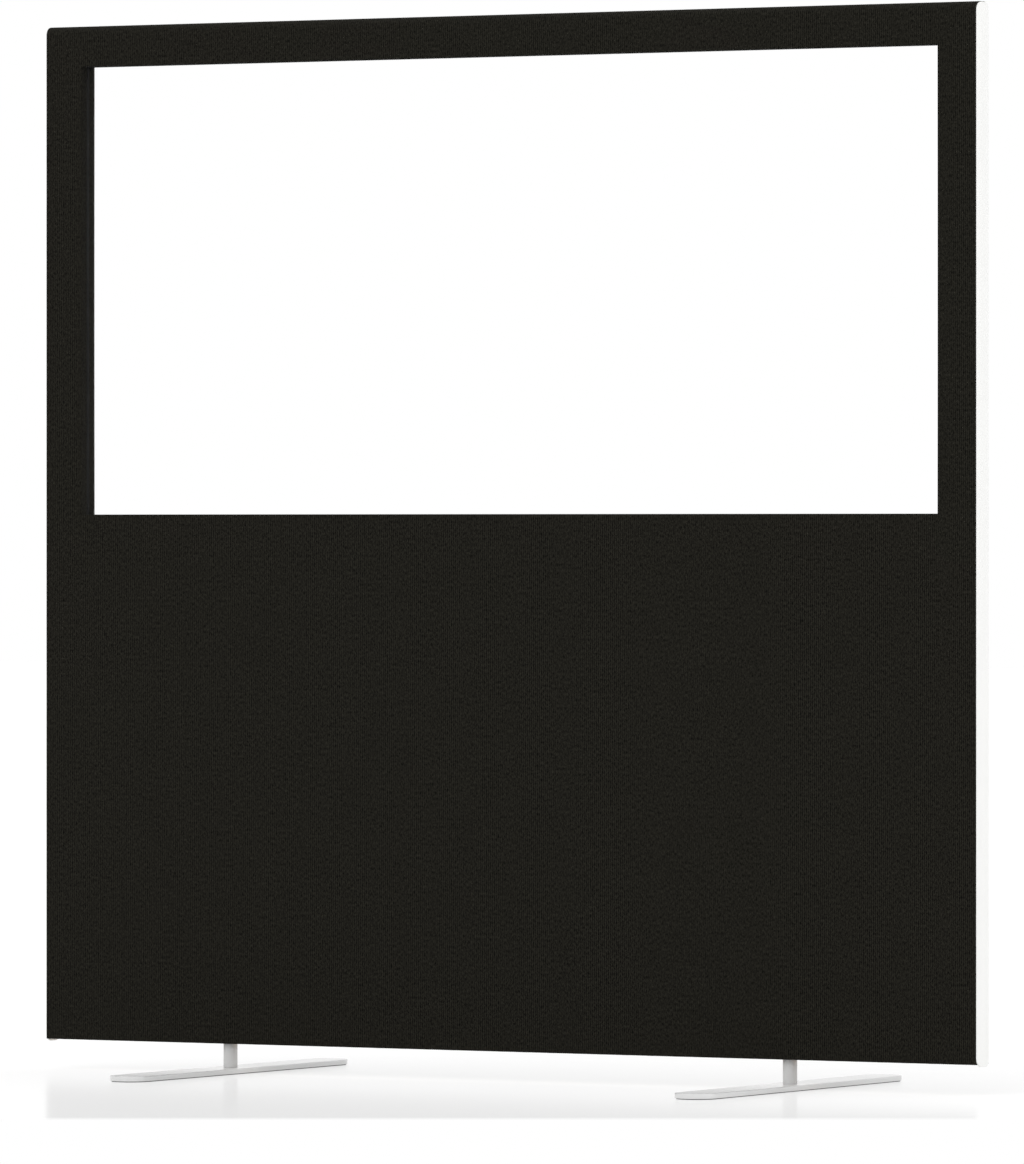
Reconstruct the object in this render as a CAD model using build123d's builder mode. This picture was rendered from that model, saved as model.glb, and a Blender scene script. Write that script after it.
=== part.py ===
from build123d import *
import os

os.makedirs("parts", exist_ok=True)

# Covered panel: X is its width, Y its depth with the front at -Y, Z is up from the floor
panel_width = 1500.0
panel_depth = 38.0
panel_height = 1450.0
floor_gap = 42.0
top_radius = 12.0
bottom_fold_radius = 0.5

# Window, measured between the covered reveals
window_side_margin = 59.0
window_top_margin = 58.0
solid_height = 751.4

# Fabric covers and the room they need over the timber
cover_thickness = 1.0
cover_clearance = 0.3
cover_bottom_opening = 20.0

# Timber frame
rail_height = 45.0
stud_width = 45.0
batt_clearance = 0.3
tenon_thickness = 8.0
tenon_width = 28.0
tenon_length = 30.0
tenon_clearance = 0.1
tenon_end_clearance = 1.0

# Pane and its channel gasket
pane_thickness = 4.0
gasket_wall = 1.9
gasket_depth = 9.0
gasket_base = 2.0
pane_clearance = 0.1
pane_end_clearance = 1.0
groove_clearance = 0.2

# End trims: a domed flange outside, a barbed web pressed into the frame's edge groove
trim_inset = 1.0
trim_edge = 0.8
trim_crown = 3.0
trim_drop = 3.0
trim_corner_radius = 12.0
web_thickness = 2.0
web_depth = 11.0
barb_height = 0.4
barb_length = 2.4
barb_count = 3
trim_groove_clearance = 0.1
web_end_inset = 15.0

# Feet
foot_spacing = 904.0
foot_length = 590.0
foot_width = 60.0
plate_thickness = 7.0
plate_edge = 0.8
pad_thickness = 1.0
pad_inset = 2.0
pad_hole_diameter = 22.0
post_diameter = 20.0
post_chamfer = 0.5
post_web = 3.0

# Fasteners that join panel, post and plate
stud_diameter = 10.0
stud_chamfer = 1.0
screw_diameter = 8.0
screw_head_diameter = 16.0
screw_socket_width = 5.0
screw_socket_depth = 2.6
thread_clearance = 0.1
bore_end_clearance = 1.5
shank_clearance = 0.25
insert_diameter = 13.0
insert_length = 25.0
insert_flange_diameter = 17.0
insert_ring_depth = 0.5
insert_ring_count = 2

# How far a cut runs past the face that it opens
overrun = 4.0

# Levels and half widths that follow from the sizes above
panel_bottom = floor_gap
panel_top = floor_gap + panel_height
panel_front = -panel_depth / 2
cover_build = cover_thickness + cover_clearance
core_width = panel_width - 2 * cover_build
core_depth = panel_depth - 2 * cover_build
core_bottom = panel_bottom + cover_build
core_top = panel_top - cover_build
window_half = panel_width / 2 - window_side_margin
window_bottom = panel_bottom + solid_height
window_top = panel_top - window_top_margin
window_height = window_top - window_bottom
frame_inner = window_half + cover_build
top_rail_bottom = window_top + cover_build
window_rail_top = window_bottom - cover_build
window_rail_bottom = window_rail_top - rail_height
bottom_rail_top = core_bottom + rail_height
stile_width = core_width / 2 - frame_inner
gasket_width = pane_thickness + 2 * (pane_clearance + gasket_wall)
pane_bite = gasket_depth - gasket_base - pane_end_clearance
pane_groove_depth = gasket_depth + groove_clearance - cover_build
foot_x = foot_spacing / 2
plate_top = pad_thickness + plate_thickness
post_bore_depth = (panel_bottom - plate_top - post_web) / 2
screw_length = plate_thickness + post_bore_depth - bore_end_clearance
stud_in_post = post_bore_depth - bore_end_clearance
stud_in_panel = cover_build + insert_length - bore_end_clearance
web_top = core_top - web_end_inset
web_bottom = core_bottom + cover_clearance
trim_groove_depth = web_depth + trim_groove_clearance - cover_build
trim_groove_width = web_thickness + 2 * barb_height + 2 * trim_groove_clearance
sides = ((-1, "left"), (1, "right"))


def finish(builder, name):
    """Labels a finished piece and writes it under its own name."""
    builder.part.label = name
    export_step(builder.part, f"parts/{name}.step")


def slab(x_low, x_high, y_low, y_high, z_low, z_high, mode=Mode.ADD):
    """A block between two corners."""
    with Locations(((x_low + x_high) / 2, (y_low + y_high) / 2, (z_low + z_high) / 2)):
        Box(x_high - x_low, y_high - y_low, z_high - z_low, mode=mode)


def front_half_section(depth, low, high, low_radius, high_radius):
    """The panel's side section from its front face back to the middle plane, rounded at the front."""
    with BuildSketch() as half:
        with Locations((-depth / 4, (low + high) / 2)):
            Rectangle(depth / 2, high - low)
        front_corners = half.vertices().group_by(Axis.X)[0].sort_by(Axis.Y)
        fillet(front_corners[-1], high_radius)
        fillet(half.vertices().group_by(Axis.X)[0].sort_by(Axis.Y)[0], low_radius)
    return half.sketch


# Loose tenons: the middle of each, as (x, z), with its length upright or level
stile_middle = frame_inner + (pane_groove_depth + stile_width - trim_groove_depth) / 2
rail_middle = (window_rail_top - pane_groove_depth + window_rail_bottom) / 2
upright_tenons = []
level_tenons = []
for side, side_name in sides:
    upright_tenons.append((side * stile_middle, bottom_rail_top))
    upright_tenons.append((side * stile_middle, top_rail_bottom))
    upright_tenons.append((side * foot_x, bottom_rail_top))
    upright_tenons.append((side * foot_x, window_rail_bottom))
    level_tenons.append((side * frame_inner, rail_middle))


def tenon_blocks(side_clearance, end_clearance, mode):
    """A block at each loose tenon's place, larger than the tenon by the two clearances."""
    thickness = tenon_thickness + 2 * side_clearance
    width = tenon_width + 2 * side_clearance
    length = tenon_length + 2 * end_clearance
    with Locations(*[(x, 0, z) for x, z in upright_tenons]):
        Box(width, thickness, length, mode=mode)
    with Locations(*[(x, 0, z) for x, z in level_tenons]):
        Box(length, thickness, width, mode=mode)


def cut_mortises():
    """Cuts the half of each mortise that falls inside the piece."""
    tenon_blocks(tenon_clearance, tenon_end_clearance, Mode.SUBTRACT)


def cut_pane_groove():
    """Ploughs the groove for the gasket all round the window."""
    half_width = gasket_width / 2 + groove_clearance
    reach = gasket_depth + groove_clearance
    slab(
        -window_half - reach, window_half + reach, -half_width, half_width,
        window_bottom - reach, window_top + reach, mode=Mode.SUBTRACT,
    )


def cut_trim_grooves():
    """Ploughs the upright groove for the trim's web in each end of the frame."""
    for side, side_name in sides:
        outer = core_width / 2 + overrun
        inner = core_width / 2 - trim_groove_depth
        low_x, high_x = sorted((side * outer, side * inner))
        half_width = trim_groove_width / 2
        slab(low_x, high_x, -half_width, half_width, core_bottom - overrun, web_top, mode=Mode.SUBTRACT)


# Timber: top and bottom rails run the full width, the stiles stand between them
with BuildPart() as top_rail:
    with BuildSketch(Plane.YZ.offset(-core_width / 2)) as rail_section:
        with Locations((0, (core_top + top_rail_bottom) / 2)):
            Rectangle(core_depth, core_top - top_rail_bottom)
        fillet(rail_section.vertices().group_by(Axis.Y)[-1], top_radius - cover_build)
    extrude(amount=core_width)
    cut_pane_groove()
    cut_trim_grooves()
    cut_mortises()
finish(top_rail, "top_rail")

insert_seat_radius = insert_diameter / 2
with BuildPart() as bottom_rail:
    slab(-core_width / 2, core_width / 2, -core_depth / 2, core_depth / 2, core_bottom, bottom_rail_top)
    cut_trim_grooves()
    cut_mortises()
    with BuildSketch(Plane.XY.offset(core_bottom)):
        with Locations((-foot_x, 0), (foot_x, 0)):
            Circle(insert_seat_radius + thread_clearance)
    extrude(amount=insert_length + bore_end_clearance, mode=Mode.SUBTRACT)
finish(bottom_rail, "bottom_rail")

with BuildPart() as window_rail:
    slab(-frame_inner, frame_inner, -core_depth / 2, core_depth / 2, window_rail_bottom, window_rail_top)
    cut_pane_groove()
    cut_mortises()
finish(window_rail, "window_rail")

for side, side_name in sides:
    with BuildPart() as stile:
        low_x, high_x = sorted((side * frame_inner, side * core_width / 2))
        slab(low_x, high_x, -core_depth / 2, core_depth / 2, bottom_rail_top, top_rail_bottom)
        cut_pane_groove()
        cut_trim_grooves()
        cut_mortises()
    finish(stile, f"{side_name}_stile")

    with BuildPart() as upright:
        middle = side * foot_x
        slab(
            middle - stud_width / 2, middle + stud_width / 2, -core_depth / 2, core_depth / 2,
            bottom_rail_top, window_rail_bottom,
        )
        cut_mortises()
    finish(upright, f"{side_name}_upright")

with BuildPart() as frame_tenons:
    tenon_blocks(0, 0, Mode.ADD)
finish(frame_tenons, "frame_tenons")

# Absorber batts fill the three bays below the window
bay_edges = {
    "left": (-frame_inner, -foot_x - stud_width / 2),
    "centre": (-foot_x + stud_width / 2, foot_x - stud_width / 2),
    "right": (foot_x + stud_width / 2, frame_inner),
}
for bay_name, (bay_left, bay_right) in bay_edges.items():
    with BuildPart() as batt:
        slab(
            bay_left + batt_clearance, bay_right - batt_clearance, -core_depth / 2, core_depth / 2,
            bottom_rail_top + batt_clearance, window_rail_bottom - batt_clearance,
        )
    finish(batt, f"{bay_name}_batt")

# Fabric covers: each goes from the seam on top over the face to the underside, and turns in
# at both ends and all round the window
void_depth = panel_depth - 2 * cover_thickness
bottom_outer_radius = bottom_fold_radius + cover_thickness
void_half = panel_width / 2 - cover_thickness
with BuildPart() as front_cover:
    with BuildSketch(Plane.YZ.offset(-panel_width / 2)):
        add(front_half_section(panel_depth, panel_bottom, panel_top, bottom_outer_radius, top_radius))
    extrude(amount=panel_width)
    with BuildSketch(Plane.YZ.offset(-void_half)):
        add(
            front_half_section(
                void_depth, panel_bottom + cover_thickness, panel_top - cover_thickness,
                bottom_fold_radius, top_radius - cover_thickness,
            )
        )
    extrude(amount=2 * void_half, mode=Mode.SUBTRACT)
    slab(
        -window_half - cover_thickness, window_half + cover_thickness, panel_front, 0,
        window_bottom - cover_thickness, window_top + cover_thickness,
    )
    slab(
        -window_half, window_half, panel_front - overrun, overrun,
        window_bottom, window_top, mode=Mode.SUBTRACT,
    )
    slab(
        -frame_inner, frame_inner, -gasket_width / 2 - cover_clearance, overrun,
        window_bottom - cover_build, window_top + cover_build, mode=Mode.SUBTRACT,
    )
    slab(
        -void_half, void_half, -cover_bottom_opening / 2, overrun,
        panel_bottom - overrun, core_bottom, mode=Mode.SUBTRACT,
    )
    slab(
        -panel_width / 2 - overrun, -core_width / 2, -trim_groove_width / 2, overrun,
        panel_bottom - overrun, web_top, mode=Mode.SUBTRACT,
    )
    slab(
        core_width / 2, panel_width / 2 + overrun, -trim_groove_width / 2, overrun,
        panel_bottom - overrun, web_top, mode=Mode.SUBTRACT,
    )
finish(front_cover, "front_cover")

with BuildPart() as back_cover:
    mirror(front_cover.part, about=Plane.XZ)
finish(back_cover, "back_cover")

# Window: a clear pane held in four lengths of channel gasket
pane_edge_reach = window_half + pane_bite
with BuildPart() as window_pane:
    slab(
        -pane_edge_reach, pane_edge_reach, -pane_thickness / 2, pane_thickness / 2,
        window_bottom - pane_bite, window_top + pane_bite,
    )
finish(window_pane, "window_pane")


def channel_section():
    """The gasket's U section, its mouth at the origin and its base out along +X."""
    with BuildSketch() as channel:
        with Locations((gasket_depth / 2, 0)):
            Rectangle(gasket_depth, gasket_width)
        with Locations(((gasket_depth - gasket_base) / 2, 0)):
            Rectangle(gasket_depth - gasket_base, pane_thickness + 2 * pane_clearance, mode=Mode.SUBTRACT)
    return channel.sketch


gasket_half = window_half + gasket_depth
head_plane = Plane(origin=(-gasket_half, 0, window_top), x_dir=(0, 0, 1), z_dir=(1, 0, 0))
sill_plane = Plane(origin=(-gasket_half, 0, window_bottom), x_dir=(0, 0, -1), z_dir=(1, 0, 0))
left_plane = Plane(origin=(-window_half, 0, window_bottom), x_dir=(-1, 0, 0), z_dir=(0, 0, 1))
right_plane = Plane(origin=(window_half, 0, window_bottom), x_dir=(1, 0, 0), z_dir=(0, 0, 1))
gasket_runs = {
    "head_gasket": (head_plane, 2 * gasket_half),
    "sill_gasket": (sill_plane, 2 * gasket_half),
    "left_gasket": (left_plane, window_height),
    "right_gasket": (right_plane, window_height),
}
for gasket_name, (gasket_plane, gasket_run) in gasket_runs.items():
    with BuildPart() as gasket:
        with BuildSketch(gasket_plane):
            add(channel_section())
        extrude(amount=gasket_run)
    finish(gasket, gasket_name)

# End trims
trim_depth = panel_depth - 2 * trim_inset
trim_bottom = panel_bottom - trim_drop
trim_top = panel_top - trim_inset
for side, side_name in sides:
    with BuildPart() as trim:
        with BuildSketch(Plane(origin=(side * panel_width / 2, 0, trim_bottom), x_dir=(side, 0, 0))):
            with BuildLine():
                crown = ThreePointArc(
                    (trim_edge, -trim_depth / 2), (trim_crown, 0), (trim_edge, trim_depth / 2)
                )
                Polyline(crown @ 1, (0, trim_depth / 2), (0, -trim_depth / 2), crown @ 0)
            make_face()
        extrude(amount=trim_top - trim_bottom)
        fillet(trim.edges().filter_by(Axis.X), trim_corner_radius)
        with BuildSketch(Plane(origin=(side * panel_width / 2, 0, web_bottom), x_dir=(side, 0, 0))):
            with Locations((-web_depth / 2, 0)):
                Rectangle(web_depth, web_thickness)
            for barb in range(barb_count):
                barb_root = -web_depth + barb * barb_length + barb_length / 2
                with BuildLine():
                    Polyline(
                        (barb_root, 0),
                        (barb_root, web_thickness / 2),
                        (barb_root + barb_length / 2, web_thickness / 2 + barb_height),
                        (barb_root + barb_length / 2, -web_thickness / 2 - barb_height),
                        (barb_root, -web_thickness / 2),
                        (barb_root, 0),
                    )
                make_face()
        extrude(amount=web_top - web_bottom)
    finish(trim, f"{side_name}_end_trim")

# Feet: a flat plate on a rubber pad, with a short round post that bolts up into the panel
for side, side_name in sides:
    middle = side * foot_x

    with BuildPart() as pad:
        with BuildSketch():
            with Locations((middle, 0)):
                SlotOverall(foot_length - 2 * pad_inset, foot_width - 2 * pad_inset, rotation=90)
                Circle(pad_hole_diameter / 2, mode=Mode.SUBTRACT)
        extrude(amount=pad_thickness)
    finish(pad, f"{side_name}_foot_pad")

    with BuildPart() as plate:
        with BuildSketch(Plane.XY.offset(pad_thickness)):
            with Locations((middle, 0)):
                SlotOverall(foot_length, foot_width, rotation=90)
        extrude(amount=plate_thickness)
        chamfer(plate.faces().sort_by(Axis.Z)[-1].edges(), plate_edge)
        with Locations(Location((middle, 0, pad_thickness), (180, 0, 0))):
            CounterSinkHole(
                screw_diameter / 2 + shank_clearance,
                screw_head_diameter / 2 + shank_clearance,
                depth=plate_thickness,
            )
    finish(plate, f"{side_name}_foot_plate")

    with BuildPart() as post:
        with BuildSketch(Plane.XY.offset(plate_top)):
            with Locations((middle, 0)):
                Circle(post_diameter / 2)
        extrude(amount=panel_bottom - plate_top)
        chamfer(post.edges().filter_by(GeomType.CIRCLE), post_chamfer)
        with BuildSketch(Plane.XY.offset(plate_top)):
            with Locations((middle, 0)):
                Circle(screw_diameter / 2 + thread_clearance)
        extrude(amount=post_bore_depth, mode=Mode.SUBTRACT)
        with BuildSketch(Plane.XY.offset(panel_bottom)):
            with Locations((middle, 0)):
                Circle(stud_diameter / 2 + thread_clearance)
        extrude(amount=-post_bore_depth, mode=Mode.SUBTRACT)
    finish(post, f"{side_name}_post")

    head_height = (screw_head_diameter - screw_diameter) / 2
    with BuildPart() as screw:
        with BuildSketch(Plane.XZ):
            with BuildLine():
                Polyline(
                    (middle, pad_thickness),
                    (middle + screw_head_diameter / 2, pad_thickness),
                    (middle + screw_diameter / 2, pad_thickness + head_height),
                    (middle + screw_diameter / 2, pad_thickness + screw_length),
                    (middle, pad_thickness + screw_length),
                    close=True,
                )
            make_face()
        revolve(axis=Axis((middle, 0, 0), (0, 0, 1)))
        with BuildSketch(Plane.XY.offset(pad_thickness)):
            with Locations((middle, 0)):
                RegularPolygon(screw_socket_width / 2, side_count=6, major_radius=False)
        extrude(amount=screw_socket_depth, mode=Mode.SUBTRACT)
    finish(screw, f"{side_name}_foot_screw")

    with BuildPart() as stud:
        with BuildSketch(Plane.XY.offset(panel_bottom - stud_in_post)):
            with Locations((middle, 0)):
                Circle(stud_diameter / 2)
        extrude(amount=stud_in_post + stud_in_panel)
        chamfer(stud.edges().filter_by(GeomType.CIRCLE), stud_chamfer)
    finish(stud, f"{side_name}_foot_stud")

    with BuildPart() as insert:
        with BuildSketch(Plane.XY.offset(panel_bottom)):
            with Locations((middle, 0)):
                Circle(insert_flange_diameter / 2)
        extrude(amount=core_bottom - panel_bottom)
        with BuildSketch(Plane.XY.offset(core_bottom)):
            with Locations((middle, 0)):
                Circle(insert_seat_radius - insert_ring_depth)
        extrude(amount=insert_length)
        ring_pitch = insert_length / insert_ring_count
        for ring in range(insert_ring_count):
            with BuildSketch(Plane.XY.offset(core_bottom + ring * ring_pitch)):
                with Locations((middle, 0)):
                    Circle(insert_seat_radius)
            extrude(amount=ring_pitch / 2)
        with BuildSketch(Plane.XY.offset(panel_bottom)):
            with Locations((middle, 0)):
                Circle(stud_diameter / 2 + thread_clearance)
        extrude(amount=core_bottom - panel_bottom + insert_length, mode=Mode.SUBTRACT)
    finish(insert, f"{side_name}_insert")
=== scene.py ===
import math

import bmesh
import bpy
import numpy as np
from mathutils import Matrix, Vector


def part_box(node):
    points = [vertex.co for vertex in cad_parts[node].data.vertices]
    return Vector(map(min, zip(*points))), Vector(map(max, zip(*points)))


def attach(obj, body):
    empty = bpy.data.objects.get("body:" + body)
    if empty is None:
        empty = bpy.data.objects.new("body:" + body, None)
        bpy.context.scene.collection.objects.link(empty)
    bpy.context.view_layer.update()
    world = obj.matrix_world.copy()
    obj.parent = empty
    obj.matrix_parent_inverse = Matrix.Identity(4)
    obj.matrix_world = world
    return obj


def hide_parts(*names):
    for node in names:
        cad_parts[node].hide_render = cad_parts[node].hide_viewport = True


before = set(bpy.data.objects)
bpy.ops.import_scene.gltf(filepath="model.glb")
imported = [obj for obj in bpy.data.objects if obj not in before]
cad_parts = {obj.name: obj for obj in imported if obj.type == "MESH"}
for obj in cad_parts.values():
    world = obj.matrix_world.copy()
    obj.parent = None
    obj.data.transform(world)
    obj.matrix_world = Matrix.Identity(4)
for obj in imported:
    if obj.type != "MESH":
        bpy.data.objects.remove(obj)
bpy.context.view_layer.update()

MM = 0.001
WHITE = (1.0, 1.0, 1.0, 1.0)
scene = bpy.context.scene

# ---------------------------------------------------------------- camera, light and floor


def aim(name, kind, place, turn):
    """A lamp or camera at a place, turned by three angles in degrees."""
    data = bpy.data.cameras.new(name) if kind == "CAMERA" else bpy.data.lights.new(name, kind)
    holder = bpy.data.objects.new(name, data)
    holder.location = place
    holder.rotation_euler = [math.radians(a) for a in turn]
    scene.collection.objects.link(holder)
    return holder


camera = aim("view", "CAMERA", place=(7.334, -12.686, 0.766), turn=(90.0, 0.0, 30.0))
camera.data.lens = 323.9
camera.data.sensor_width = 36.0
camera.data.shift_y = -0.0415
camera.data.clip_end = 200.0
bpy.context.scene.camera = camera
scene.view_settings.view_transform = "Standard"

# Two wide soft suns: the key from above and in front, the fill from the right
key = aim("key_light", "SUN", place=(-2.0, -4.0, 6.0), turn=(38.0, 0.0, -24.0))
key.data.energy = 1.05
key.data.angle = math.radians(70.0)
fill = aim("fill_light", "SUN", place=(6.0, 1.3, 3.0), turn=(64.0, 0.0, 102.0))
fill.data.energy = 0.95
fill.data.angle = math.radians(80.0)


def put(tree, kind, **values):
    """A new node, with its settings and the values of its inputs by name."""
    node = tree.nodes.new(kind)
    for key_name, value in values.items():
        if hasattr(node, key_name):
            setattr(node, key_name, value)
        else:
            node.inputs[key_name.replace("_", " ")].default_value = value
    return node


def feed(tree, source, target):
    """Joins an output to an input, or writes a plain value into it."""
    if isinstance(source, bpy.types.NodeSocket):
        tree.links.new(source, target)
    else:
        target.default_value = source


def reckon(tree, operation, *terms):
    """The result of a Math node on sockets or numbers."""
    node = tree.nodes.new("ShaderNodeMath")
    node.operation = operation
    for slot_index, term in enumerate(terms):
        feed(tree, term, node.inputs[slot_index])
    return node.outputs[0]


def blend(tree, share, low, high):
    """A colour between two, by share. A Mix node keeps its two colours behind its numbers and vectors."""
    first_colour, second_colour, colour_result = 6, 7, 2
    node = tree.nodes.new("ShaderNodeMix")
    node.data_type = "RGBA"
    feed(tree, share, node.inputs["Factor"])
    feed(tree, low, node.inputs[first_colour])
    feed(tree, high, node.inputs[second_colour])
    return node.outputs[colour_result]


def stretch(tree, value, low, high, out_low, out_high):
    """A value carried from one range into another, clamped."""
    node = tree.nodes.new("ShaderNodeMapRange")
    for name, term in (("Value", value), ("From Min", low), ("From Max", high),
                       ("To Min", out_low), ("To Max", out_high)):
        feed(tree, term, node.inputs[name])
    return node.outputs[0]


def cloud(tree, place, scale, detail=2.0, roughness=0.5):
    """Smooth noise at a place, from about 0 to 1, with scale in cells per metre."""
    node = put(tree, "ShaderNodeTexNoise", Scale=scale, Detail=detail, Roughness=roughness)
    feed(tree, place, node.inputs["Vector"])
    return node.outputs["Fac"]


def parts_of(tree, place):
    """A place's three parts, by X, Y and Z."""
    node = tree.nodes.new("ShaderNodeSeparateXYZ")
    feed(tree, place, node.inputs[0])
    return node.outputs


def mixed(tree, share, first, second):
    """The mix of two shaders, by the share of the second."""
    node = tree.nodes.new("ShaderNodeMixShader")
    feed(tree, share, node.inputs[0])
    tree.links.new(first, node.inputs[1])
    tree.links.new(second, node.inputs[2])
    return node.outputs[0]


def glow(tree, strength):
    """White light given off at a strength."""
    node = tree.nodes.new("ShaderNodeEmission")
    node.inputs["Color"].default_value = WHITE
    feed(tree, strength, node.inputs["Strength"])
    return node.outputs[0]


def grey(tone):
    """A neutral colour."""
    return (tone, tone, tone, 1.0)


def object_place(tree):
    """The place on the piece, in Object coordinates."""
    return put(tree, "ShaderNodeTexCoord").outputs["Object"]


def scaled(tree, place, factors):
    """A place with each of its three parts multiplied."""
    node = tree.nodes.new("ShaderNodeVectorMath")
    node.operation = "MULTIPLY"
    feed(tree, place, node.inputs[0])
    node.inputs[1].default_value = factors
    return node.outputs[0]


def seen_by_eye(tree):
    """1 for the rays that show the background: camera, glossy and transmission rays."""
    path = tree.nodes.new("ShaderNodeLightPath")
    return reckon(tree, "MAXIMUM", path.outputs["Is Camera Ray"],
                  reckon(tree, "MAXIMUM", path.outputs["Is Glossy Ray"], path.outputs["Is Transmission Ray"]))


def studio_world():
    """White to the eye and in reflections, a plain level of light on everything else."""
    plain_level, white_level = 0.7, 1.0
    world = bpy.data.worlds.new("white_studio")
    world.use_nodes = True
    tree = world.node_tree
    shine = tree.nodes["Background"]
    shine.inputs["Color"].default_value = WHITE
    strength = stretch(tree, seen_by_eye(tree), 0.0, 1.0, plain_level, white_level)
    feed(tree, strength, shine.inputs["Strength"])
    scene.world = world


studio_world()


def studio_floor():
    """A pale, slightly glossy floor that keeps the screen's shadow and, at a low angle, a soft reflection
    of it. A stride in front of the screen it turns plain white to the eye. It lies a hair under the pads,
    and seen from below it is clear, so that the underside shows."""
    half, level = 40.0, -0.0002
    darkest, lightest, tone_to_eye, lift_to_eye = 0.80, 0.83, 0.32, 0.71
    gloss_roughness, least_gloss, gloss_gain, gloss_power = 0.16, 0.02, 0.32, 5.0
    ahead_x, ahead_y, fade_from, fade_to = 0.5, -0.866, 0.90, 0.97
    corners = [(-half, -half, level), (half, -half, level), (half, half, level), (-half, half, level)]
    sheet = bpy.data.meshes.new("studio_floor")
    sheet.from_pydata(corners, [], [(0, 1, 2, 3)])
    floor = bpy.data.objects.new("studio_floor", sheet)
    scene.collection.objects.link(floor)
    paint = bpy.data.materials.new("pale_floor")
    paint.use_nodes = True
    tree = paint.node_tree
    tree.nodes.clear()
    place = object_place(tree)
    eye = seen_by_eye(tree)
    paper = blend(tree, cloud(tree, place, scale=3.0), grey(darkest), grey(lightest))
    matt = put(tree, "ShaderNodeBsdfDiffuse")
    feed(tree, blend(tree, eye, paper, grey(tone_to_eye)), matt.inputs["Color"])
    both = put(tree, "ShaderNodeAddShader")
    tree.links.new(matt.outputs[0], both.inputs[0])
    tree.links.new(glow(tree, reckon(tree, "MULTIPLY", eye, lift_to_eye)), both.inputs[1])
    gloss = put(tree, "ShaderNodeBsdfAnisotropic", Roughness=gloss_roughness)
    gloss.inputs["Color"].default_value = WHITE
    facing = put(tree, "ShaderNodeLayerWeight", Blend=0.5).outputs["Facing"]
    graze = reckon(tree, "MULTIPLY_ADD", reckon(tree, "POWER", facing, gloss_power), gloss_gain, least_gloss)
    shiny = mixed(tree, reckon(tree, "MULTIPLY", eye, graze), both.outputs[0], gloss.outputs[0])
    parts = parts_of(tree, place)
    depth = reckon(tree, "MULTIPLY", parts["Y"], ahead_y)
    ahead = reckon(tree, "MULTIPLY_ADD", parts["X"], ahead_x, depth)
    fade = reckon(tree, "MULTIPLY", eye, stretch(tree, ahead, fade_from, fade_to, 0.0, 1.0))
    faded = mixed(tree, fade, shiny, glow(tree, 1.0))
    behind = put(tree, "ShaderNodeNewGeometry").outputs["Backfacing"]
    one_way = mixed(tree, behind, faded, put(tree, "ShaderNodeBsdfTransparent").outputs[0])
    tree.links.new(one_way, put(tree, "ShaderNodeOutputMaterial").inputs["Surface"])
    sheet.materials.append(paint)


studio_floor()

# ---------------------------------------------------------------- finishes


def group(name, inputs, outputs):
    """An empty node group with named float and vector inputs and float outputs."""
    tree = bpy.data.node_groups.new(name, "ShaderNodeTree")
    for label, kind in inputs:
        tree.interface.new_socket(label, in_out="INPUT", socket_type=kind)
    for label in outputs:
        tree.interface.new_socket(label, in_out="OUTPUT", socket_type="NodeSocketFloat")
    return tree, tree.nodes.new("NodeGroupInput"), tree.nodes.new("NodeGroupOutput")


def ribbed_weave():
    """Ribbed cloth. Across the cloth, ribs follow the cosine of 2 pi u / Rib. Along each rib, picks
    follow the absolute sine of pi v / Pick, stepped half a pick from rib to rib. Slubs are noise drawn
    out along v, mottle and drift are slower noise, and fuzz is fine noise. Shade and Height are sums of
    them, each times its share. In Shade, the ribs are painted shade that darkens the valleys between
    them, and the picks are a painted highlight on their crowns; the slubs, mottle, drift and fuzz are
    the cloth's own uneven tone."""
    tree, given, out = group("ribbed_weave", (("Layout", "NodeSocketVector"), ("Rib", "NodeSocketFloat"),
                                              ("Pick", "NodeSocketFloat")), ("Shade", "Height"))
    layout = given.outputs["Layout"]
    parts = parts_of(tree, layout)
    across = reckon(tree, "DIVIDE", parts["X"], given.outputs["Rib"])
    along = reckon(tree, "DIVIDE", parts["Y"], given.outputs["Pick"])
    wave = reckon(tree, "COSINE", reckon(tree, "MULTIPLY", across, 2 * math.pi))
    rib = reckon(tree, "MULTIPLY_ADD", wave, 0.5, 0.5)
    step = reckon(tree, "MULTIPLY", reckon(tree, "ROUND", across), 0.5)
    turn = reckon(tree, "MULTIPLY", reckon(tree, "ADD", along, step), math.pi)
    pick = reckon(tree, "ABSOLUTE", reckon(tree, "SINE", turn))
    slub = cloud(tree, scaled(tree, layout, (460.0, 250.0, 1.0)), scale=1.0, detail=3.0, roughness=0.65)
    mottle = cloud(tree, layout, scale=170.0, detail=4.0, roughness=0.65)
    drift = cloud(tree, layout, scale=22.0)
    fuzz = cloud(tree, layout, scale=2400.0, detail=3.0, roughness=0.7)
    crown_share, hollow_share = 0.65, 0.35
    thread = reckon(tree, "MULTIPLY", pick, reckon(tree, "MULTIPLY_ADD", rib, crown_share, hollow_share))
    height = thread
    for effect, share in ((slub, 0.4), (fuzz, 0.5)):
        height = reckon(tree, "MULTIPLY_ADD", effect, share, height)
    # Shade sums painted shade in the rib valleys, a painted highlight on the pick crowns, and the cloth's own
    # slub, mottle, drift and fuzz tone.
    shade = -1.10
    effects = ((rib, 0.42), (thread, 0.12), (slub, 2.2), (mottle, 0.7), (drift, 0.12), (fuzz, 0.25))
    for effect, share in effects:
        shade = reckon(tree, "MULTIPLY_ADD", effect, share, shade)
    tree.links.new(shade, out.inputs["Shade"])
    tree.links.new(height, out.inputs["Height"])
    return tree


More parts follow.
